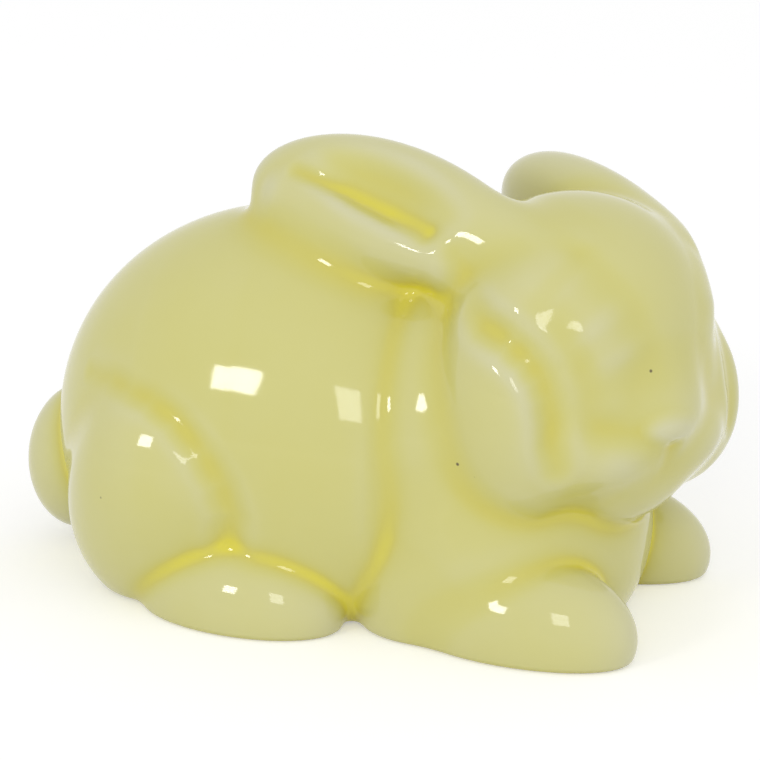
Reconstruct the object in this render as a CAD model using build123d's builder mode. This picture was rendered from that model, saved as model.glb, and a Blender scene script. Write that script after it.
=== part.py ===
"""Glazed ceramic rabbit, crouching, with its head turned to its right and its ears laid back.

Torso and head are slip-cast and hollow. Ears, paws, feet and tail are solid members, each seated on the
surface that carries it, as they are when they are luted on with slip before firing.
+X is the way the body points, +Y is its left side, +Z is up and the base lies on Z = 0.
"""

import math
import os

from build123d import *

# Cast walls, in millimetres
WALL = 4.0
BASE_WALL = 4.5

# Eggs are (half length behind the centre, half length ahead of it, half width, half height)
BARREL = (45.0, 43.0, 32.5, 41.0)
BARREL_AT = (-15.0, 0.0, 26.5)
HAUNCH = (19.0, 19.0, 19.0, 21.0)
HAUNCH_AT = (-33.5, 13.5, 15.5)
HAUNCH_TURN = 10.0
THIGH = (17.0, 26.0, 18.5, 20.5)
THIGH_AT = (-30.3, 17.3, 24.6)
SHOULDERS = (24.0, 24.0, 28.5, 29.0)
SHOULDERS_AT = (18.5, 0.0, 32.0)
CHEST = (28.0, 24.5, 29.5, 25.0)
CHEST_AT = (25.0, 0.0, 14.0)
ELBOW = (13.0, 13.0, 9.5, 13.0)
ELBOW_AT = (17.0, 18.5, 5.0)
TORSO_CREASE = 5.0

# Head: places are (ahead, left, up) from its centre, with ahead towards the nose
HEAD_AT = (39.0, -2.0, 45.0)
HEAD_TURN = -28.0
SKULL = (24.0, 24.5, 23.0, 24.0)
SKULL_AT = (-3.0, 0.0, 5.5)
SKULL_TILT = -27.0  # the forehead runs down into the bridge of the nose
CHEEK = (15.3, 15.3, 13.8, 19.0)
CHEEK_AT = (0.8, 16.0, -5.5)
JAW = (14.0, 13.5, 14.0, 11.0)
JAW_AT = (5.0, 0.0, -15.0)
SNOUT = (14.0, 15.5, 11.0, 11.5)
SNOUT_AT = (9.0, 0.0, -5.0)
LIP = (9.0, 9.5, 8.8, 6.5)
LIP_AT = (12.0, 8.0, -9.5)
NOSE = (4.0, 3.6, 6.5, 3.3)
NOSE_AT = (21.2, 0.0, -4.3)
EYE_HOLLOW_TOP, EYE_HOLLOW_END = (5.0, 26.0, 14.0), (15.8, 22.0, 2.0)
EYE_HOLLOW_RADII = (3.5, 2.5)  # at the top and at the end
FACE_CREASE = 2.0

# Ears: root and tip of each, and how far its open side is rolled up from facing sideways
EAR_THICKNESS = 16.0
EAR_RIGHT_ROOT, EAR_RIGHT_TIP, EAR_RIGHT_ROLL = (36.0, -13.5, 67.5), (-22.0, -2.0, 72.9), -58.0
EAR_RIGHT_WIDTH = 23.5
EAR_LEFT_ROOT, EAR_LEFT_TIP, EAR_LEFT_ROLL = (50.0, 11.0, 65.0), (11.0, 41.0, 61.5), 62.0
EAR_LEFT_WIDTH = 26.0
EAR_WIDEST = 0.6  # as a share of the length, from the root
EAR_HOLLOW_INNER, EAR_HOLLOW_INNER_RADIUS = (0.36, 1.8), 4.6  # share of the length, and off the middle line
EAR_HOLLOW_OUTER, EAR_HOLLOW_OUTER_RADIUS = (0.72, -1.6), 3.6
EAR_RIM = 1.2

# Paws, feet and tail
PAW = (21.0, 21.0, 10.5, 13.0)
PAW_RIGHT_AT, PAW_LEFT_AT = (34.0, -20.7, 4.0), (34.0, 22.2, 4.0)
PAW_TURN = 3.0
FOOT = (19.5, 19.5, 11.0, 12.5)
FOOT_AT = (-15.5, 25.0, 3.0)
FOOT_TURN = 5.0
TAIL = (10.3, 10.3, 9.5, 14.0)
TAIL_AT = (-59.0, 0.0, 16.3)
TAIL_TILT = -8.0

# Holes of the casting
POUR_HOLE_AT, POUR_HOLE_RADIUS = (-22.0, 0.0), 8.0
VENT_AT, VENT_RADIUS = (31.0, -1.0), 5.0
VENT_BOTTOM, VENT_TOP = 18.0, 40.0

# Middle of the footprint's box, which the finished pieces are moved to
ORIGIN = (-3.32, 3.46)

RIGHT, LEFT = -1, 1
ON_FACE = (Align.CENTER, Align.CENTER, Align.MIN)
SMOOTH_ANGLE = 8.0  # faces that turn less than this, in degrees, already run into each other
BASE_TOLERANCE = 0.1


def egg(behind, ahead, across, up):
    """Egg: half its outline turned about its length, then squashed to its own width."""
    with BuildPart() as form:
        with BuildSketch(Plane.XZ):
            with BuildLine():
                EllipticalCenterArc((0, 0), behind, up, 90, arc_size=90)
                EllipticalCenterArc((0, 0), ahead, up, 0, arc_size=90)
                Line((-behind, 0), (ahead, 0))
            make_face()
        revolve(axis=Axis.X)
        scale(by=(1, across / up, 1))
    return form.part


def peg(start, end, start_radius, end_radius):
    """Round-ended taper from one point to another."""
    run = Vector(*end) - Vector(*start)
    lean = math.degrees(math.asin((start_radius - end_radius) / run.length))
    beside = run.cross(Vector(0, 0, 1)) if run.X or run.Y else Vector(0, 1, 0)
    with BuildPart() as form:
        with BuildSketch(Plane(origin=start, x_dir=run, z_dir=beside)):
            with BuildLine():
                big_end = CenterArc((0, 0), start_radius, 90 - lean, 90 + lean)
                small_end = CenterArc((run.length, 0), end_radius, 0, 90 - lean)
                Line(small_end @ 1, big_end @ 0)
                Line(big_end @ 1, small_end @ 0)
            make_face()
        revolve(axis=Axis(start, run))
    return form.part


def placed(place, turn=0.0, tilt=0.0, roll=0.0):
    """Location at a place, turned to the left, then nose up, then rolled about its own length."""
    return Location(place) * Rotation(0, 0, turn) * Rotation(0, -tilt, 0) * Rotation(roll, 0, 0)


def on_side(place, side):
    """The same place on the rabbit's right or left."""
    return (place[0], side * place[1], place[2])


def thinned(form):
    """An egg's sizes less the cast wall."""
    return tuple(size - WALL for size in form)


def creases(part):
    """Edges above the base where two faces meet at an angle, each a valley or ridge to be rounded."""
    faces = part.faces()
    found = ShapeList()
    for edge in part.edges().filter_by(lambda edge: edge.center().Z > BASE_TOLERANCE):
        sides = [face for face in faces if any(edge.is_same(border) for border in face.edges())]
        middle = edge.position_at(0.5)
        normals = [face.normal_at(middle) for face in sides]
        if len(normals) == 2 and normals[0].get_angle(normals[1]) > SMOOTH_ANGLE:
            found.append(edge)
    return found


def ear(root, tip, width, roll, open_side):
    """Leaf-shaped ear from root to tip, with a hollow that slants down its open face."""
    run = Vector(*tip) - Vector(*root)
    length = run.length
    turn = math.degrees(math.atan2(run.Y, run.X))
    tilt = math.degrees(math.asin(run.Z / length))
    inner = (EAR_HOLLOW_INNER[0] * length, open_side * EAR_HOLLOW_INNER[1], EAR_THICKNESS / 2)
    outer = (EAR_HOLLOW_OUTER[0] * length, open_side * EAR_HOLLOW_OUTER[1], EAR_THICKNESS / 2)
    leaf = egg(EAR_WIDEST * length, (1 - EAR_WIDEST) * length, width / 2, EAR_THICKNESS / 2)
    hollow = peg(inner, outer, EAR_HOLLOW_INNER_RADIUS, EAR_HOLLOW_OUTER_RADIUS)
    along = placed(root, turn, tilt, roll)
    with BuildPart() as form:
        with Locations(along * placed((EAR_WIDEST * length, 0, 0))):
            add(leaf)
        with Locations(along):
            add(hollow, mode=Mode.SUBTRACT)
        fillet(creases(form.part), EAR_RIM)
    return form.part


def finish(sub_part, label):
    """Moves a finished piece to the shared origin, labels it and writes it."""
    piece = sub_part.part.solids().sort_by(SortBy.VOLUME)[-1].moved(Location((-ORIGIN[0], -ORIGIN[1], 0)))
    piece.label = label
    export_step(piece, f"parts/{label}.step")
    box = piece.bounding_box()
    print(label, round(piece.volume), box.min, box.max)


HEAD_PLACE = placed(HEAD_AT, HEAD_TURN)
BOTH = (RIGHT, LEFT)
HAUNCH_PLACES = [placed(on_side(HAUNCH_AT, side), -side * HAUNCH_TURN) for side in BOTH]
THIGH_PLACES = [placed(on_side(THIGH_AT, side)) for side in BOTH]

# Outside of the torso
barrel = egg(*BARREL)
haunch = egg(*HAUNCH)
thigh = egg(*THIGH)
shoulders = egg(*SHOULDERS)
chest = egg(*CHEST)
elbow = egg(*ELBOW)
with BuildPart() as torso_form:
    with Locations(BARREL_AT):
        add(barrel)
    with Locations(HAUNCH_PLACES):
        add(haunch)
    with Locations(THIGH_PLACES):
        add(thigh)
    with Locations(SHOULDERS_AT):
        add(shoulders)
    with Locations(CHEST_AT):
        add(chest)
    with Locations([on_side(ELBOW_AT, side) for side in BOTH]):
        add(elbow)
    split(bisect_by=Plane.XY, keep=Keep.TOP)
    fillet(creases(torso_form.part), TORSO_CREASE)

# Hollow of the torso, one wall inside the same eggs
barrel_hollow = egg(*thinned(BARREL))
haunch_hollow = egg(*thinned(HAUNCH))
thigh_hollow = egg(*thinned(THIGH))
shoulders_hollow = egg(*thinned(SHOULDERS))
chest_hollow = egg(*thinned(CHEST))
with BuildPart() as torso_hollow:
    with Locations(BARREL_AT):
        add(barrel_hollow)
    with Locations(HAUNCH_PLACES):
        add(haunch_hollow)
    with Locations(THIGH_PLACES):
        add(thigh_hollow)
    with Locations(SHOULDERS_AT):
        add(shoulders_hollow)
    with Locations(CHEST_AT):
        add(chest_hollow)
    split(bisect_by=Plane.XY.offset(BASE_WALL), keep=Keep.TOP)

# Outside of the head, set on the neck
skull = egg(*SKULL)
cheek = egg(*CHEEK)
jaw = egg(*JAW)
snout = egg(*SNOUT)
lip = egg(*LIP)
nose = egg(*NOSE)
eye_hollows = [
    peg(on_side(EYE_HOLLOW_TOP, side), on_side(EYE_HOLLOW_END, side), *EYE_HOLLOW_RADII)
    for side in BOTH
]
SKULL_PLACE = HEAD_PLACE * placed(SKULL_AT, tilt=SKULL_TILT)
CHEEK_PLACES = [HEAD_PLACE * placed(on_side(CHEEK_AT, side)) for side in BOTH]
with BuildPart() as head_form:
    with Locations(SKULL_PLACE):
        add(skull)
    with Locations(CHEEK_PLACES):
        add(cheek)
    with Locations(HEAD_PLACE * placed(JAW_AT)):
        add(jaw)
    with Locations(HEAD_PLACE * placed(SNOUT_AT)):
        add(snout)
    with Locations([HEAD_PLACE * placed(on_side(LIP_AT, side)) for side in BOTH]):
        add(lip)
    with Locations(HEAD_PLACE):
        add(eye_hollows, mode=Mode.SUBTRACT)
    with Locations(HEAD_PLACE * placed(NOSE_AT)):
        add(nose)
    fillet(creases(head_form.part), FACE_CREASE)

with BuildPart() as head:
    add(head_form.part)
    with Locations(SKULL_PLACE):
        add(egg(*thinned(SKULL)), mode=Mode.SUBTRACT)
    with Locations(CHEEK_PLACES):
        add(egg(*thinned(CHEEK)), mode=Mode.SUBTRACT)
    with Locations((*VENT_AT, VENT_BOTTOM)):
        Cylinder(VENT_RADIUS, VENT_TOP - VENT_BOTTOM, align=ON_FACE, mode=Mode.SUBTRACT)

with BuildPart() as body_shell:
    add(torso_form.part)
    add(torso_hollow.part, mode=Mode.SUBTRACT)
    add(head_form.part, mode=Mode.SUBTRACT)
    with Locations(POUR_HOLE_AT):
        Cylinder(POUR_HOLE_RADIUS, BASE_WALL, align=ON_FACE, mode=Mode.SUBTRACT)

with BuildPart() as ear_right:
    add(ear(EAR_RIGHT_ROOT, EAR_RIGHT_TIP, EAR_RIGHT_WIDTH, EAR_RIGHT_ROLL, 1))
    add(head_form.part, mode=Mode.SUBTRACT)
    add(torso_form.part, mode=Mode.SUBTRACT)

with BuildPart() as ear_left:
    add(ear(EAR_LEFT_ROOT, EAR_LEFT_TIP, EAR_LEFT_WIDTH, EAR_LEFT_ROLL, -1))
    add(head_form.part, mode=Mode.SUBTRACT)
    add(torso_form.part, mode=Mode.SUBTRACT)

paw = egg(*PAW)
with BuildPart() as forepaw_right:
    with Locations(placed(PAW_RIGHT_AT, RIGHT * PAW_TURN)):
        add(paw)
    split(bisect_by=Plane.XY, keep=Keep.TOP)
    add(torso_form.part, mode=Mode.SUBTRACT)

with BuildPart() as forepaw_left:
    with Locations(placed(PAW_LEFT_AT, LEFT * PAW_TURN)):
        add(paw)
    split(bisect_by=Plane.XY, keep=Keep.TOP)
    add(torso_form.part, mode=Mode.SUBTRACT)

foot = egg(*FOOT)
with BuildPart() as hind_foot_right:
    with Locations(placed(on_side(FOOT_AT, RIGHT), RIGHT * FOOT_TURN)):
        add(foot)
    split(bisect_by=Plane.XY, keep=Keep.TOP)
    add(torso_form.part, mode=Mode.SUBTRACT)

with BuildPart() as hind_foot_left:
    with Locations(placed(on_side(FOOT_AT, LEFT), LEFT * FOOT_TURN)):
        add(foot)
    split(bisect_by=Plane.XY, keep=Keep.TOP)
    add(torso_form.part, mode=Mode.SUBTRACT)

with BuildPart() as tail:
    with Locations(placed(TAIL_AT, tilt=TAIL_TILT)):
        add(egg(*TAIL))
    add(torso_form.part, mode=Mode.SUBTRACT)

os.makedirs("parts", exist_ok=True)
finish(body_shell, "body_shell")
finish(head, "head")
finish(ear_right, "ear_right")
finish(ear_left, "ear_left")
finish(forepaw_right, "forepaw_right")
finish(forepaw_left, "forepaw_left")
finish(hind_foot_right, "hind_foot_right")
finish(hind_foot_left, "hind_foot_left")
finish(tail, "tail")
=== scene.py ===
"""Looks of the glazed ceramic rabbit: nine cast and modelled pieces under one continuous glaze.

The pieces are worked out together as one distance field, in the millimetres of the model, so that the clay
runs over from one to the next. The field is then cut into a closed mesh for each piece.
"""

import math

import bpy
import numpy as np
from mathutils import Matrix, Vector


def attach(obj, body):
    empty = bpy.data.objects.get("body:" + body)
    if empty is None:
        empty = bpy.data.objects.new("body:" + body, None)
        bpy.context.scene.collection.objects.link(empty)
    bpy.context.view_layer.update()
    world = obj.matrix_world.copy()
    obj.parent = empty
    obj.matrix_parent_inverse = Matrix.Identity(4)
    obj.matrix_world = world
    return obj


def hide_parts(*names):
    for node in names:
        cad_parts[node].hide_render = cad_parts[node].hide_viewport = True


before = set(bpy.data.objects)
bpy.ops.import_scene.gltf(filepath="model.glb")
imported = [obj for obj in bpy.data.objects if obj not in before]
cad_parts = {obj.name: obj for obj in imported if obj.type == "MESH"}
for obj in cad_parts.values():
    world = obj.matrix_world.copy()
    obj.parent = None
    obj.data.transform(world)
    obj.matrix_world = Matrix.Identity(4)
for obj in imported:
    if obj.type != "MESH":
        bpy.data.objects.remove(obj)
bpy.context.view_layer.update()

MM = 0.001
ORIGIN = (-3.32, 3.46, 0.0)  # middle of the footprint, in the coordinates that the forms are given in
NAMES = ["body_shell", "head", "ear_right", "ear_left", "forepaw_right", "forepaw_left",
         "hind_foot_right", "hind_foot_left", "tail"]
OUTSIDE, BODY, HEAD = 0, 1, 2  # owners of a grid point, which go on as NAMES does
RIGHT, LEFT = -1, 1
SIDES = (RIGHT, LEFT)

# Grid that the field is worked out on, and what is read from the field
GRID_STEP = 0.7
GRID_LOW, GRID_HIGH = (-71.0, -38.0, -2.0), (65.0, 45.0, 84.0)
SLOPE_REACH = 0.25  # how far to each side the slope of the field is taken
LEAST_GRADE = 0.2  # keeps a step short where the field is nearly level
NEARLY_LEVEL = 0.9  # upward share of a normal from which the surface counts as level
POOL_REACHES = (2.0, 4.0)  # how far round a place its hollow or round form is taken

# Torso: eggs are (half length behind the centre, half length ahead of it, half width, half height)
BARREL, BARREL_AT = (45, 43, 32.5, 41), (-15, 0, 26.5)
FLANK_FULLER, FLANK_RUN = 0.085, 24  # share that the barrel is wider by ahead of its centre, and how far on
RUMP_FULLER, RUMP_RUN = 0.035, 20  # the same behind its centre
HAUNCH, HAUNCH_AT, HAUNCH_TURN = (19, 19, 19, 21), (-33.5, 13.5, 15.5), -10
THIGH, THIGH_AT = (17, 26, 18.5, 20.5), (-30.3, 17.3, 24.6)
HAUNCH_LINE = [(-46, 24.2, 41), (-40.5, 27.7, 41.6), (-35, 30.6, 41.2), (-29.5, 32.5, 40.3), (-24, 34, 37.6),
               (-18.5, 35.3, 32.5), (-15, 35.6, 26.5), (-13.6, 35.2, 20.5), (-14.5, 34.2, 14.5)]
HAUNCH_LINE_RADII = (1.6, 3.2)  # of the rod that creases the torso along the line, from its top to its foot
SHOULDERS, SHOULDERS_AT = (24, 24, 27.6, 29), (18.5, 0, 32)
CHEST, CHEST_AT = (28, 24.5, 29.5, 25), (25, 0, 14)
ELBOW, ELBOW_AT = (13, 13, 9.5, 13), (17, 18.5, 5)

# Paws, feet and tail
PAW, PAW_RIGHT_AT, PAW_LEFT_AT = (21, 21, 10.5, 13), (34, -20.7, 4), (34, 22.2, 4)
PAW_SPREAD = 7  # how far off the middle a paw stands for each degree that it turns out
FOOT, FOOT_AT, FOOT_TURN = (19.5, 19.5, 11, 12.5), (-15.5, 25, 3), 5
TAIL, TAIL_AT, TAIL_TILT = (10.3, 10.3, 9.5, 14), (-59, 0, 16.3), -8

# Widths over which a crease is filled or a rim is rounded
HAUNCH_BLEND, CHEST_BLEND, ELBOW_BLEND = 6, 6, 5
TORSO_BLEND, HAUNCH_LINE_BLEND = 2, 2.5
NECK_SEAM, EAR_SEAM, PAW_SEAM = 3, 6, 2
BASE_RIM, HOLE_RIM, POUR_HOLE_RIM, NECK_RIM = 1.2, 0.6, 1.5, 1

# Inside of the castings
WALL, BASE_WALL = 4, 4.5
SHOULDERS_HOLLOW = (20, 20, 24.5, 25)
SKULL_HOLLOW = (20, 19.5, 18.5, 20)
CHEEK_HOLLOW, CHEEK_HOLLOW_AT = (11.3, 11, 9.5, 14), (0.8, 16, -5.5)
POUR_HOLE_AT, POUR_HOLE_RADIUS, POUR_HOLE_TOP = (-22, 0), 8, 8
VENT_BOTTOM, VENT_TOP, VENT_RADIUS = (31, -1, 22), (31, -1, 36), 5


# Forms: each takes the points as three arrays and gives the distance to a surface, negative inside

def turned(yaw=0.0, pitch=0.0, roll=0.0):
    """Axes turned to the left, then nose up, then rolled about their own length."""
    y, p, r = math.radians(yaw), math.radians(pitch), math.radians(roll)
    spin = np.array([[math.cos(y), -math.sin(y), 0], [math.sin(y), math.cos(y), 0], [0, 0, 1]])
    lift = np.array([[math.cos(p), 0, -math.sin(p)], [0, 1, 0], [math.sin(p), 0, math.cos(p)]])
    bank = np.array([[1, 0, 0], [0, math.cos(r), -math.sin(r)], [0, math.sin(r), math.cos(r)]])
    return spin @ lift @ bank


def egg(points, centre, sizes, axes=None, slim=0.0):
    """Egg about a centre, where slim is the share of its width that is gone at its nose."""
    x, y, z = (points[k] - centre[k] for k in range(3))
    if axes is not None:
        x, y, z = (axes[0, k] * x + axes[1, k] * y + axes[2, k] * z for k in range(3))
    behind, ahead, across, up = sizes
    x = np.where(x > 0, x / ahead, x / behind)
    across = across * (1 - slim * np.clip(x, 0, 1) ** 2)
    y = y / across
    z = z / up
    reach = np.sqrt(x * x + y * y + z * z)
    along = np.where(x > 0, x / ahead, x / behind)
    steepness = np.sqrt(along ** 2 + (y / across) ** 2 + (z / up) ** 2)
    return reach * (reach - 1.0) / np.maximum(steepness, 1e-6)


def rod(points, start, end, start_radius, end_radius):
    """Round-ended rod that changes evenly from one radius to the other."""
    run = [end[k] - start[k] for k in range(3)]
    length_squared = sum(step * step for step in run)
    off = [points[k] - start[k] for k in range(3)]
    share = np.clip(sum(off[k] * run[k] for k in range(3)) / length_squared, 0.0, 1.0)
    gap = np.sqrt(sum((off[k] - share * run[k]) ** 2 for k in range(3)))
    return gap - (start_radius + (end_radius - start_radius) * share)


def trail(points, stops, start_radius, end_radius):
    """Rods from stop to stop."""
    count = len(stops) - 1
    out = np.inf
    for k in range(count):
        first = start_radius + (end_radius - start_radius) * k / count
        last = start_radius + (end_radius - start_radius) * (k + 1) / count
        out = np.minimum(out, rod(points, stops[k], stops[k + 1], first, last))
    return out


def join(one, other, blend):
    """Both forms as one, with the crease between them filled over the width of the blend."""
    near = np.maximum(blend - np.abs(one - other), 0.0) / blend
    return np.minimum(one, other) - near * near * blend * 0.25


def cut(one, other, blend):
    """The first form less the second, with the rim rounded over the width of the blend."""
    near = np.maximum(blend - np.abs(one + other), 0.0) / blend
    return np.maximum(one, -other) + near * near * blend * 0.25


def on_side(place, side):
    """The same place on the rabbit's right or left."""
    return (place[0], side * place[1], place[2])


def thinned(sizes):
    """An egg's sizes less the cast wall."""
    return tuple(size - WALL for size in sizes)


def torso(points):
    """Barrel with a creased haunch on each side, and the shoulders, chest and elbows ahead of it."""
    ahead = np.clip((points[0] - BARREL_AT[0]) / FLANK_RUN, 0, 1)
    behind = np.clip((BARREL_AT[0] - points[0]) / RUMP_RUN, 0, 1)
    fuller = 1 + FLANK_FULLER * ahead ** 2 + RUMP_FULLER * behind
    out = egg((points[0], points[1] / fuller, points[2]), BARREL_AT, BARREL)
    for side in SIDES:
        haunch = egg(points, on_side(HAUNCH_AT, side), HAUNCH, turned(side * HAUNCH_TURN))
        haunch = join(haunch, egg(points, on_side(THIGH_AT, side), THIGH), HAUNCH_BLEND)
        out = join(out, haunch, TORSO_BLEND)
        crease = trail(points, [on_side(stop, side) for stop in HAUNCH_LINE], *HAUNCH_LINE_RADII)
        out = cut(out, crease, HAUNCH_LINE_BLEND)
    fore = egg(points, SHOULDERS_AT, SHOULDERS)
    fore = join(fore, egg(points, CHEST_AT, CHEST), CHEST_BLEND)
    for side in SIDES:
        fore = join(fore, egg(points, on_side(ELBOW_AT, side), ELBOW), ELBOW_BLEND)
    return join(out, fore, TORSO_BLEND)


# Head: places are (ahead, left, up) from its centre, with ahead towards the nose

HEAD_AT = np.array([39.0, -2.0, 45.0])
HEAD_AXES = turned(yaw=-28.0)
UPRIGHT_AXES = HEAD_AXES @ turned(pitch=90)
SKULL, SKULL_AT, SKULL_SLIM = (24, 23.7, 23.5, 24), (-3, 0, 5.5), 0.28
SKULL_AXES = HEAD_AXES @ turned(pitch=-27)  # the forehead runs down into the bridge of the nose
BROW = [(4.4, 14.6, 15.6), (7.1, 13.6, 14), (11.1, 11.7, 10.6), (12.5, 10.4, 7.2), (12.6, 10.2, 1.5)]
BROW_RADII, BROW_TAPER = {RIGHT: 7, LEFT: 4.6}, 0.5
CHEEK_RIGHT, CHEEK_RIGHT_AT = (18.5, 25, 12.5, 15.3), (1, -16.8, -4.5)  # both cheeks are upright eggs
CHEEK_LEFT, CHEEK_LEFT_AT = (16.5, 18, 13.5, 15.1), (1, 16, -8)
JAW, JAW_AT = (14, 13.5, 15, 11.5), (5, 0, -14.5)
EYE_LINE = [(-1.5, 27.3, 15), (2.1, 26.9, 13), (7.7, 26.2, 11.2), (11.6, 24.7, 8.6), (14, 23.3, 5.4),
            (15.2, 22.6, 1.9), (15.8, 22.3, -1.8), (16.2, 22.1, -5.9), (16.9, 21.3, -9.9)]
EYE_LINE_RADIUS = 2.4
SNOUT, SNOUT_AT = (14, 14.5, 11, 10), (9.8, -0.8, -4)
LIP, LIP_RIGHT_AT, LIP_LEFT_AT = (9, 9.5, 8.8, 6.5), (12, -9, -9.5), (12, 7, -9.5)
NOSE, NOSE_AT = (4, 4.2, 5.2, 3.2), (20.6, -2.4, -4.6)
MOUTH_TOP, MOUTH_BOTTOM, MOUTH_RADII = (24.5, -2.2, -9), (22, -1.5, -16), (1.9, 1.6)
BROW_BLEND, CHEEK_RIGHT_BLEND, CHEEK_LEFT_BLEND, JAW_BLEND = 4, 3, 6, 5
EYE_LINE_BLEND, LIP_BLEND, SNOUT_BLEND, NOSE_BLEND, MOUTH_BLEND = 3.5, 4, 6, 1.2, 1.4


def on_head(place, side=LEFT):
    """A place of the head as the forms take it, or the place across from it where the side is right."""
    return HEAD_AT + HEAD_AXES @ np.array(on_side(place, side))


def head(points):
    """Skull with its brows, cheeks and jaw, a long crease down past each eye, and the snout set in front."""
    out = egg(points, on_head(SKULL_AT), SKULL, SKULL_AXES, SKULL_SLIM)
    for side in SIDES:
        stops = [on_head(stop, side) for stop in BROW]
        out = join(out, trail(points, stops, BROW_RADII[side], BROW_RADII[side] - BROW_TAPER), BROW_BLEND)
    out = join(out, egg(points, on_head(CHEEK_RIGHT_AT), CHEEK_RIGHT, UPRIGHT_AXES), CHEEK_RIGHT_BLEND)
    out = join(out, egg(points, on_head(CHEEK_LEFT_AT), CHEEK_LEFT, UPRIGHT_AXES), CHEEK_LEFT_BLEND)
    out = join(out, egg(points, on_head(JAW_AT), JAW, HEAD_AXES), JAW_BLEND)
    for side in SIDES:
        stops = [on_head(stop, side) for stop in EYE_LINE]
        out = cut(out, trail(points, stops, EYE_LINE_RADIUS, EYE_LINE_RADIUS), EYE_LINE_BLEND)
    snout = egg(points, on_head(SNOUT_AT), SNOUT, HEAD_AXES)
    for place in (LIP_RIGHT_AT, LIP_LEFT_AT):
        snout = join(snout, egg(points, on_head(place), LIP, HEAD_AXES), LIP_BLEND)
    out = join(out, snout, SNOUT_BLEND)
    out = join(out, egg(points, on_head(NOSE_AT), NOSE, HEAD_AXES), NOSE_BLEND)
    return cut(out, rod(points, on_head(MOUTH_TOP), on_head(MOUTH_BOTTOM), *MOUTH_RADII), MOUTH_BLEND)


# Ears: places are (share of the length from the root, off the middle line, up from the middle)

EAR_THICKNESS = 16
EAR_WIDEST, EAR_SLIM = 0.6, 0.45  # where along it is widest, and the share of its width gone at its root
EAR_RIGHT_ROOT, EAR_RIGHT_TIP = (36, -13.5, 67.5), (-22, -2, 72.9)
EAR_LEFT_ROOT, EAR_LEFT_TIP = (50, 11, 65), (11, 40.65, 61.5)
EAR_RIGHT_WIDTH, EAR_LEFT_WIDTH = 23.5, 26
EAR_RIGHT_ROLL, EAR_LEFT_ROLL = -58, 62  # how far its open side is rolled over from facing up
EAR_SCOOP, EAR_SCOOP_AT = (17, 17, 7.2, 6), (0.5, -2.6, 10.6)
EAR_SCOOP_TURN, EAR_SCOOP_ROLL = -13, -24
EAR_FOLD = [(0.8, -0.8, 7.8), (0.62, 0.2, 6.8), (0.48, 2.0, 6.2), (0.34, 4.0, 6.4)]
EAR_FOLD_RADII = (0.9, 2.2)
EAR_RIM = [(0.84, 2.6, 2.8), (0.66, 4.6, 2.8), (0.48, 6.2, 2.4), (0.3, 6.6, 1.6)]
EAR_RIM_RADIUS = 3.6
EAR_BLEND = 2.5


def ear(points, root, tip, width, roll, rim_side):
    """Leaf from root to tip, with a scoop and a narrow fold in its open face and a round rim on one side."""
    root, tip = np.array(root), np.array(tip)
    run = tip - root
    length = float(np.linalg.norm(run))
    axes = turned(math.degrees(math.atan2(run[1], run[0])), math.degrees(math.asin(run[2] / length)), roll)

    def on_ear(place):
        share, across, up = place
        return root + axes @ np.array([share * length, rim_side * across, up])

    sizes = (length * (1 - EAR_WIDEST), length * EAR_WIDEST, width / 2, EAR_THICKNESS / 2)
    leaf = egg(points, root + run * EAR_WIDEST, sizes, axes @ turned(yaw=180), EAR_SLIM)
    slanted = axes @ turned(yaw=rim_side * EAR_SCOOP_TURN) @ turned(roll=rim_side * EAR_SCOOP_ROLL)
    scoop = egg(points, on_ear(EAR_SCOOP_AT), EAR_SCOOP, slanted)
    fold = trail(points, [on_ear(stop) for stop in EAR_FOLD], *EAR_FOLD_RADII)
    rim = trail(points, [on_ear(stop) for stop in EAR_RIM], EAR_RIM_RADIUS, EAR_RIM_RADIUS)
    return join(cut(leaf, join(scoop, fold, EAR_BLEND), EAR_BLEND), rim, EAR_BLEND)


def members(points):
    """Every piece by itself, in the order of NAMES."""
    out = [torso(points), head(points)]
    out.append(ear(points, EAR_RIGHT_ROOT, EAR_RIGHT_TIP, EAR_RIGHT_WIDTH, EAR_RIGHT_ROLL, LEFT))
    out.append(ear(points, EAR_LEFT_ROOT, EAR_LEFT_TIP, EAR_LEFT_WIDTH, EAR_LEFT_ROLL, RIGHT))
    for place in (PAW_RIGHT_AT, PAW_LEFT_AT):
        out.append(egg(points, place, PAW, turned(place[1] / PAW_SPREAD)))
    for side in SIDES:
        out.append(egg(points, on_side(FOOT_AT, side), FOOT, turned(side * FOOT_TURN)))
    out.append(egg(points, TAIL_AT, TAIL, turned(pitch=TAIL_TILT)))
    return out


def clay(parts):
    """All the pieces run together, as the slip and the glaze fill the seams between them."""
    out = join(parts[0], parts[1], NECK_SEAM)
    for part in parts[2:4]:
        out = join(out, part, EAR_SEAM)
    for part in parts[4:]:
        out = join(out, part, PAW_SEAM)
    return out


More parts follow.
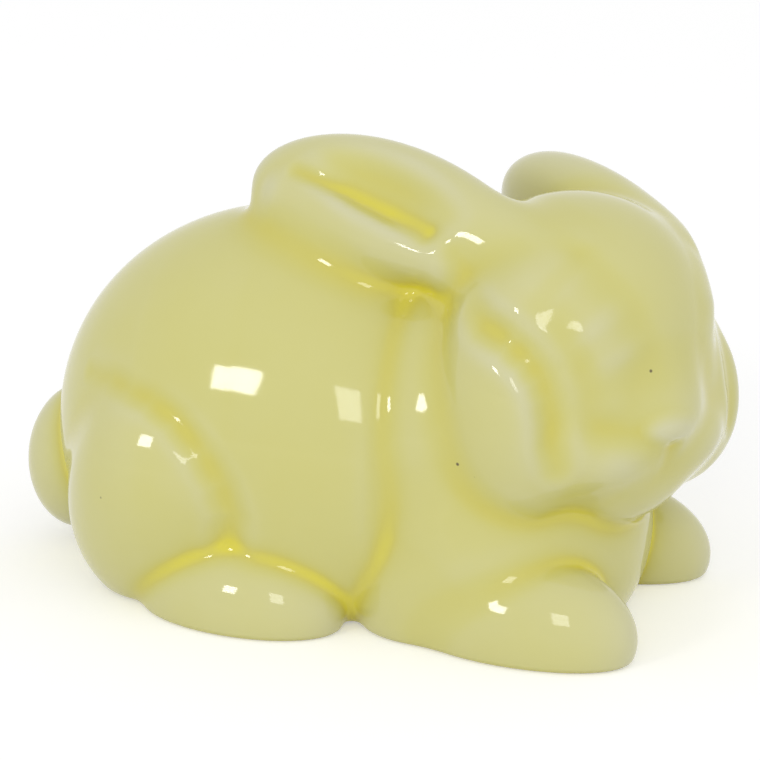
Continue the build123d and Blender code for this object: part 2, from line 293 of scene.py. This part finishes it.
def hollow(points):
    """Inside of the castings, with the pouring hole and the vent between them."""
    out = egg(points, BARREL_AT, thinned(BARREL))
    for side in SIDES:
        haunch = egg(points, on_side(HAUNCH_AT, side), thinned(HAUNCH), turned(side * HAUNCH_TURN))
        out = np.minimum(out, haunch)
        out = np.minimum(out, egg(points, on_side(THIGH_AT, side), thinned(THIGH)))
    out = np.minimum(out, egg(points, SHOULDERS_AT, SHOULDERS_HOLLOW))
    out = np.minimum(out, egg(points, CHEST_AT, thinned(CHEST)))
    out = np.maximum(out, BASE_WALL - points[2])
    out = cut(out, head(points), NECK_RIM)
    out = np.minimum(out, egg(points, on_head(SKULL_AT), SKULL_HOLLOW, SKULL_AXES, SKULL_SLIM))
    for side in SIDES:
        out = np.minimum(out, egg(points, on_head(CHEEK_HOLLOW_AT, side), CHEEK_HOLLOW, HEAD_AXES))
    beside = np.hypot(points[0] - POUR_HOLE_AT[0], points[1] - POUR_HOLE_AT[1]) - POUR_HOLE_RADIUS
    out = join(out, np.maximum(beside, points[2] - POUR_HOLE_TOP), POUR_HOLE_RIM)
    return np.minimum(out, rod(points, VENT_BOTTOM, VENT_TOP, VENT_RADIUS, VENT_RADIUS))


def finished(points, parts):
    """The run-together pieces on a flat base, less the inside."""
    return cut(cut(clay(parts), points[2], BASE_RIM), hollow(points), HOLE_RIM)


def whole(points):
    """The finished object."""
    return finished(points, members(points))


# Meshes: one sheet of vertices over the whole field, shared out to the pieces

def sample():
    """The field at each grid point, and the owner of each: the piece that it is in, or the outside."""
    axes = [np.arange(GRID_LOW[k], GRID_HIGH[k] + GRID_STEP, GRID_STEP, dtype=np.float32) for k in range(3)]
    points = np.meshgrid(*axes, indexing="ij")
    parts = members(points)
    value = finished(points, parts)
    body, skull = parts[:2]
    others = np.stack(parts[2:])
    owner = np.argmin(others, axis=0) + HEAD + 1
    closer = np.minimum(body, skull) < np.min(others, axis=0)
    owner = np.where((body < 0) | closer, BODY, owner)
    owner = np.where((skull < 0) | (closer & (skull < body)), HEAD, owner)
    owner = np.where(value < 0, owner, OUTSIDE)
    return value, owner


def shifted(shape, axis, step):
    """Slices that pair each grid point with its neighbour along an axis."""
    out = [slice(None)] * 3
    out[axis] = slice(step, shape[axis] - 1 + step)
    return tuple(out)


def vertices(value, owner):
    """A vertex in each grid cell that a surface crosses, whether it is on the skin, and its number."""
    shape = tuple(n - 1 for n in value.shape)
    total = {key: np.zeros(shape + (3,), np.float32) for key in ("skin", "seam")}
    count = {key: np.zeros(shape, np.float32) for key in ("skin", "seam")}
    for axis in range(3):
        here, there = shifted(value.shape, axis, 0), shifted(value.shape, axis, 1)
        behind, ahead = owner[here], owner[there]
        kinds = {"skin": (behind == OUTSIDE) != (ahead == OUTSIDE),
                 "seam": (behind != ahead) & (behind != OUTSIDE) & (ahead != OUTSIDE)}
        for key, crossed in kinds.items():
            index = np.argwhere(crossed)
            if key == "skin":
                share = value[here][crossed] / (value[here][crossed] - value[there][crossed])
            else:
                share = np.full(len(index), 0.5)
            place = index.astype(np.float32)
            place[:, axis] += share
            across, up = [k for k in range(3) if k != axis]
            for cell_across in (0, -1):
                for cell_up in (0, -1):
                    cell = index.copy()
                    cell[:, across] += cell_across
                    cell[:, up] += cell_up
                    keep = (cell >= 0).all(1) & (cell < shape).all(1)
                    at = tuple(cell[keep].T)
                    np.add.at(total[key], at, place[keep])
                    np.add.at(count[key], at, 1.0)
    on_skin = count["skin"] > 0
    used = on_skin | (count["seam"] > 0)
    place = np.where(on_skin[..., None], total["skin"], total["seam"])
    place = place[used] / np.where(on_skin, count["skin"], count["seam"])[used][:, None]
    number = np.full(shape, -1, np.int64)
    number[used] = np.arange(used.sum())
    return place * GRID_STEP + np.array(GRID_LOW), on_skin[used], number


def quads(owner, number):
    """Squares across every grid edge where a piece ends, each with the pieces behind and ahead of it."""
    squares, pairs = [], []
    for axis in range(3):
        behind = owner[shifted(owner.shape, axis, 0)]
        ahead = owner[shifted(owner.shape, axis, 1)]
        across, up = (axis + 1) % 3, (axis + 2) % 3
        index = np.argwhere(behind != ahead)
        index = index[(index[:, across] > 0) & (index[:, up] > 0)]
        index = index[(index[:, across] < owner.shape[across] - 1) & (index[:, up] < owner.shape[up] - 1)]
        corners = []
        for cell_across, cell_up in ((-1, -1), (0, -1), (0, 0), (-1, 0)):
            cell = index.copy()
            cell[:, across] += cell_across
            cell[:, up] += cell_up
            corners.append(number[tuple(cell.T)])
        squares.append(np.stack(corners, 1))
        at = tuple(index.T)
        pairs.append(np.stack([behind[at], ahead[at]], 1))
    return np.concatenate(squares), np.concatenate(pairs)


def columns(places):
    """A list of places as the three arrays that the forms take."""
    return [places[:, k] for k in range(3)]


def slope(points):
    """Direction in which the field grows fastest, and how fast."""
    out = []
    for k in range(3):
        ahead = [points[j] + (SLOPE_REACH if j == k else 0.0) for j in range(3)]
        behind = [points[j] - (SLOPE_REACH if j == k else 0.0) for j in range(3)]
        out.append((whole(ahead) - whole(behind)) / (2 * SLOPE_REACH))
    return np.stack(out, 1)


def settled(places):
    """Places near the skin, moved onto it in two steps along the slope."""
    for _ in range(2):
        points = columns(places)
        grade = slope(points)
        steepness = np.maximum((grade ** 2).sum(1), LEAST_GRADE)
        places = places - grade * (whole(points) / steepness)[:, None]
    return places


def pooled(points, normal):
    """Where glaze gathers: above 0 in hollows, about 0 where the surface is flat, below 0 on round forms."""
    beside = np.where(np.abs(normal[:, 2:]) < NEARLY_LEVEL, [[0.0, 0.0, 1.0]], [[1.0, 0.0, 0.0]])
    first = np.cross(normal, beside)
    first /= np.linalg.norm(first, axis=1)[:, None]
    second = np.cross(normal, first)
    out = 0.0
    asides = (first, -first, second, -second)
    for reach in POOL_REACHES:
        for aside in asides:
            nearby = [points[k] + aside[:, k] * reach for k in range(3)]
            out = out - clay(members(nearby)) / (len(asides) * len(POOL_REACHES) * reach)
    return out


def surface():
    """All vertices with their normals and gathered glaze, and all faces with the owner on each side."""
    value, owner = sample()
    place, on_skin, number = vertices(value, owner)
    place[on_skin] = settled(place[on_skin])
    points = columns(place[on_skin])
    grade = slope(points)
    normal = np.zeros_like(place)
    normal[on_skin] = grade / np.maximum(np.linalg.norm(grade, axis=1), 1e-6)[:, None]
    pool = np.zeros(len(place))
    pool[on_skin] = pooled(points, normal[on_skin])

    # A seam's square that lies in the skin, by three corners or more, is folded inwards to a point below it
    squares, pairs = quads(owner, number)
    flat = (pairs != OUTSIDE).all(1) & (on_skin[squares].sum(1) >= 3)
    folded = squares[flat]
    below = place[folded].mean(1) - normal[folded].mean(1) * GRID_STEP
    lowest = len(place) + np.arange(len(folded))
    edges = [(folded[:, k], folded[:, (k + 1) % 4]) for k in range(4)]
    triangles = np.concatenate([np.stack([start, end, lowest], 1) for start, end in edges])
    faces = ((squares[~flat], pairs[~flat]), (triangles, np.concatenate([pairs[flat]] * 4)))
    place = np.concatenate([place, below])
    normal = np.concatenate([normal, np.zeros_like(below)])
    pool = np.concatenate([pool, np.zeros(len(below))])

    place[:, 2] = np.maximum(place[:, 2], 0.0)
    return (place - np.array(ORIGIN)) * MM, normal, pool, faces


def add_piece(name, place, normal, pool, faces):
    """Closed mesh in place of a node, with how the glaze gathers in its attribute pool."""
    mesh = bpy.data.meshes.new(name + "_glazed")
    mesh.from_pydata(place.tolist(), [], faces)
    mesh.update()
    mesh.polygons.foreach_set("use_smooth", [True] * len(mesh.polygons))
    mesh.normals_split_custom_set_from_vertices(normal.tolist())
    layer = mesh.attributes.new("pool", "FLOAT", "POINT")
    layer.data.foreach_set("value", pool.astype(np.float32))
    piece = bpy.data.objects.new(name + "_glazed", mesh)
    bpy.context.scene.collection.objects.link(piece)
    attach(piece, "root")
    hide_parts(name)
    return piece


def build():
    """A mesh for each piece, from the faces that bound it, turned so that all of them face out of it."""
    place, normal, pool, all_faces = surface()
    pieces = []
    for number, name in enumerate(NAMES, BODY):
        faces = []
        for shapes, pairs in all_faces:
            faces += shapes[pairs[:, 0] == number].tolist()
            faces += shapes[pairs[:, 1] == number][:, ::-1].tolist()
        used, corners = np.unique(np.concatenate([np.array(face) for face in faces]), return_inverse=True)
        corners = iter(corners.tolist())
        faces = [[next(corners) for _ in face] for face in faces]
        piece = add_piece(name, place[used], normal[used], pool[used], faces)
        repaired = piece.data.validate()
        print(name, len(used), "vertices", len(faces), "faces, repaired:", repaired)
        pieces.append(piece)
    return pieces


# Materials

# Round forms carry the thinnest glaze and hollows the deepest: how far it gathers, and the colour given
# there, which holds painted light as well as the glaze's own colour
# The deepest stop is painted brighter than the pooled glaze is, as painted light that lifts the shade in
# creases
# The palest stop is partly thin glaze and partly a painted reflection of the white room along rims
GLAZE_AND_PAINTED_LIGHT_COLOURS = [(-0.21, (0.70, 0.68, 0.41)), (-0.12, (0.69, 0.665, 0.32)), (-0.035, (0.68, 0.648, 0.235)),
                 (0.03, (0.67, 0.63, 0.19)), (0.09, (0.67, 0.61, 0.13)), (0.19, (0.78, 0.70, 0.07))]
GLAZE_ROUGHNESS, GLAZE_IOR = 0.07, 1.5
CLOUD_SCALE, CLOUD_DEPTH = 55.0, 0.035  # how far the clouds add to the gathered glaze or take from it
PINHOLE_SCALE, PINHOLE_BOTTOM, PINHOLE_EDGE = 90.0, 0.016, 0.034
PINHOLE_COLOUR = (0.16, 0.13, 0.06, 1)
RIPPLE_SCALE, RIPPLE_STRENGTH, RIPPLE_HEIGHT = 120.0, 0.25, 0.0004
PAPER_COLOUR = (0.86, 0.86, 0.86, 1)
PAPER_LIFT = 0.36  # what the paper needs to look as white as the backdrop


def nodes_of(name):
    """New material, its node tree and its shader."""
    material = bpy.data.materials.new(name)
    material.use_nodes = True
    tree = material.node_tree
    return material, tree, tree.nodes["Principled BSDF"]


def add_node(tree, kind, sockets=None, **settings):
    """New node. Its settings come before the values of its sockets, because they decide which it has."""
    node = tree.nodes.new(kind)
    for name, value in settings.items():
        setattr(node, name, value)
    for name, value in (sockets or {}).items():
        node.inputs[name].default_value = value
    return node


def glaze_and_painted_light_colour(tree, place):
    """Colour by how far the glaze gathers, with cloudy unevenness. Round forms are paled partly by a painted
    reflection, and hollows are brightened by painted light against their shade.
    """
    least, most = GLAZE_AND_PAINTED_LIGHT_COLOURS[0][0], GLAZE_AND_PAINTED_LIGHT_COLOURS[-1][0]
    depth = add_node(tree, "ShaderNodeAttribute", attribute_name="pool")
    cloud = add_node(tree, "ShaderNodeTexNoise", {"Scale": CLOUD_SCALE, "Detail": 3.0})
    uneven = add_node(tree, "ShaderNodeMapRange", {"To Min": -CLOUD_DEPTH, "To Max": CLOUD_DEPTH})
    both = add_node(tree, "ShaderNodeMath", operation="ADD")
    share = add_node(tree, "ShaderNodeMapRange", {"From Min": least, "From Max": most})
    ramp = add_node(tree, "ShaderNodeValToRGB")
    stops = ramp.color_ramp.elements
    stops.remove(stops[0])
    for k, (gathered, colour) in enumerate(GLAZE_AND_PAINTED_LIGHT_COLOURS):
        position = (gathered - least) / (most - least)
        stop = stops[0] if k == 0 else stops.new(position)
        stop.position = position
        stop.color = colour + (1,)
    tree.links.new(place, cloud.inputs["Vector"])
    tree.links.new(cloud.outputs["Fac"], uneven.inputs["Value"])
    tree.links.new(depth.outputs["Fac"], both.inputs[0])
    tree.links.new(uneven.outputs["Result"], both.inputs[1])
    tree.links.new(both.outputs["Value"], share.inputs["Value"])
    tree.links.new(share.outputs["Result"], ramp.inputs["Fac"])
    return ramp.outputs["Color"]


def with_pinholes(tree, place, colour):
    """The same colour with small dark pinholes in it."""
    specks = add_node(tree, "ShaderNodeTexVoronoi", {"Scale": PINHOLE_SCALE})
    hole = add_node(tree, "ShaderNodeMapRange", {"From Min": PINHOLE_BOTTOM, "From Max": PINHOLE_EDGE,
                                                 "To Min": 1.0, "To Max": 0.0})
    stained = add_node(tree, "ShaderNodeMix", {"B": PINHOLE_COLOUR}, data_type="RGBA")
    tree.links.new(place, specks.inputs["Vector"])
    tree.links.new(specks.outputs["Distance"], hole.inputs["Value"])
    tree.links.new(hole.outputs["Result"], stained.inputs["Factor"])
    tree.links.new(colour, stained.inputs["A"])
    return stained.outputs["Result"]


def ripple(tree, place):
    """Slight waviness of the glaze's own surface."""
    waves = add_node(tree, "ShaderNodeTexNoise", {"Scale": RIPPLE_SCALE, "Detail": 1.0})
    bump = add_node(tree, "ShaderNodeBump", {"Strength": RIPPLE_STRENGTH, "Distance": RIPPLE_HEIGHT})
    tree.links.new(place, waves.inputs["Vector"])
    tree.links.new(waves.outputs["Fac"], bump.inputs["Height"])
    return bump.outputs["Normal"]


def glaze():
    """Clear yellow glaze over a pale body: pale where it runs thin, with a painted reflection paling the
    round forms too, and deep where it pools, painted brighter there to lift the shade of the hollows.
    """
    material, tree, shader = nodes_of("yellow_glaze")
    place = add_node(tree, "ShaderNodeTexCoord").outputs["Object"]
    colour = with_pinholes(tree, place, glaze_and_painted_light_colour(tree, place))
    tree.links.new(colour, shader.inputs["Base Color"])
    tree.links.new(ripple(tree, place), shader.inputs["Normal"])
    shader.inputs["Roughness"].default_value = GLAZE_ROUGHNESS
    shader.inputs["IOR"].default_value = GLAZE_IOR
    return material


def seen(tree):
    """1 for the rays by which the camera sees something, straight or in a reflection, else 0."""
    path = add_node(tree, "ShaderNodeLightPath")
    out = path.outputs["Is Camera Ray"]
    for name in ("Is Glossy Ray", "Is Transmission Ray"):
        either = add_node(tree, "ShaderNodeMath", operation="MAXIMUM")
        tree.links.new(out, either.inputs[0])
        tree.links.new(path.outputs[name], either.inputs[1])
        out = either.outputs["Value"]
    return out


def paper():
    """White paper that looks as bright as the backdrop, and still takes the rabbit's shadow."""
    material, tree, shader = nodes_of("floor_paper")
    lift = add_node(tree, "ShaderNodeMath", {1: PAPER_LIFT}, operation="MULTIPLY")
    tree.links.new(seen(tree), lift.inputs[0])
    tree.links.new(lift.outputs["Value"], shader.inputs["Emission Strength"])
    shader.inputs["Emission Color"].default_value = (1, 1, 1, 1)
    shader.inputs["Base Color"].default_value = PAPER_COLOUR
    shader.inputs["Roughness"].default_value = 0.9
    shader.inputs["Specular IOR Level"].default_value = 0.0
    return material


# Floor, light and camera, in metres and degrees

FLOOR_REACH = 3
LAMP_TARGET, LAMP_DISTANCE = (0, 0, 0.04), 1.2
WORLD_LIGHT = (0.38, 0.90)  # what the world's dark and bright sides cast on the rabbit, where 1 is white
WORLD_BRIGHT_SIDE = (0.77, -0.47, 0.44)
CAMERA_AZIMUTH, CAMERA_ELEVATION, CAMERA_DISTANCE = -68, 17, 0.5
CAMERA_TARGET = (1, -1.5, 38)  # in the coordinates and millimetres of the forms
LENS, SENSOR_WIDTH = 135, 36  # in millimetres


def toward(azimuth, elevation):
    """Direction from the rabbit, with the azimuth turned to the left from the way that its body points."""
    turn, rise = math.radians(azimuth), math.radians(elevation)
    return Vector((math.cos(turn) * math.cos(rise), math.sin(turn) * math.cos(rise), math.sin(rise)))


def aimed(obj, eye, target):
    """Puts a lamp or camera at the eye, looking at the target."""
    look = (Vector(eye) - Vector(target)).to_track_quat("Z", "Y")
    obj.matrix_world = Matrix.Translation(eye) @ look.to_matrix().to_4x4()


def add_floor():
    """Wide sheet of paper under the rabbit."""
    reach = FLOOR_REACH
    corners = [(-reach, -reach, 0), (reach, -reach, 0), (reach, reach, 0), (-reach, reach, 0)]
    mesh = bpy.data.meshes.new("floor")
    mesh.from_pydata(corners, [], [(0, 1, 2, 3)])
    floor = bpy.data.objects.new("floor", mesh)
    bpy.context.scene.collection.objects.link(floor)
    mesh.materials.append(paper())


def add_window(name, azimuth, elevation, width, height, power):
    """Window-shaped lamp, seen from the rabbit in the direction given."""
    data = bpy.data.lights.new(name, "AREA")
    data.shape = "RECTANGLE"
    data.size, data.size_y = width, height
    data.energy = power
    lamp = bpy.data.objects.new(name, data)
    bpy.context.scene.collection.objects.link(lamp)
    aimed(lamp, toward(azimuth, elevation) * LAMP_DISTANCE + Vector(LAMP_TARGET), LAMP_TARGET)


def set_world():
    """White backdrop that casts more light from its bright side than from its dark one."""
    world = bpy.data.worlds.new("studio")
    world.use_nodes = True
    tree = world.node_tree
    backdrop = tree.nodes["Background"]
    backdrop.inputs["Color"].default_value = (1, 1, 1, 1)
    facing = add_node(tree, "ShaderNodeVectorMath", {1: WORLD_BRIGHT_SIDE}, operation="DOT_PRODUCT")
    dark, bright = WORLD_LIGHT
    light = add_node(tree, "ShaderNodeMapRange", {"From Min": -1.0, "To Min": dark, "To Max": bright})
    brightness = add_node(tree, "ShaderNodeMix", {"B": 1.0})
    tree.links.new(add_node(tree, "ShaderNodeTexCoord").outputs["Generated"], facing.inputs[0])
    tree.links.new(facing.outputs["Value"], light.inputs["Value"])
    tree.links.new(seen(tree), brightness.inputs["Factor"])
    tree.links.new(light.outputs["Result"], brightness.inputs["A"])
    tree.links.new(brightness.outputs["Result"], backdrop.inputs["Strength"])
    bpy.context.scene.world = world


def add_camera():
    """Camera at the photograph's angle."""
    data = bpy.data.cameras.new("camera")
    data.lens = LENS
    data.sensor_width = SENSOR_WIDTH
    camera = bpy.data.objects.new("camera", data)
    bpy.context.scene.collection.objects.link(camera)
    target = Vector([CAMERA_TARGET[k] - ORIGIN[k] for k in range(3)]) * MM
    aimed(camera, target + toward(CAMERA_AZIMUTH, CAMERA_ELEVATION) * CAMERA_DISTANCE, target)
    bpy.context.scene.camera = camera


pieces = build()
coat = glaze()
for piece in pieces:
    piece.data.materials.append(coat)
add_floor()
add_window("window_left", azimuth=-113, elevation=21, width=0.16, height=0.20, power=1.5)
add_window("window_right", azimuth=-75, elevation=23, width=0.24, height=0.32, power=1.2)
set_world()
bpy.context.scene.view_settings.view_transform = "Standard"
add_camera()
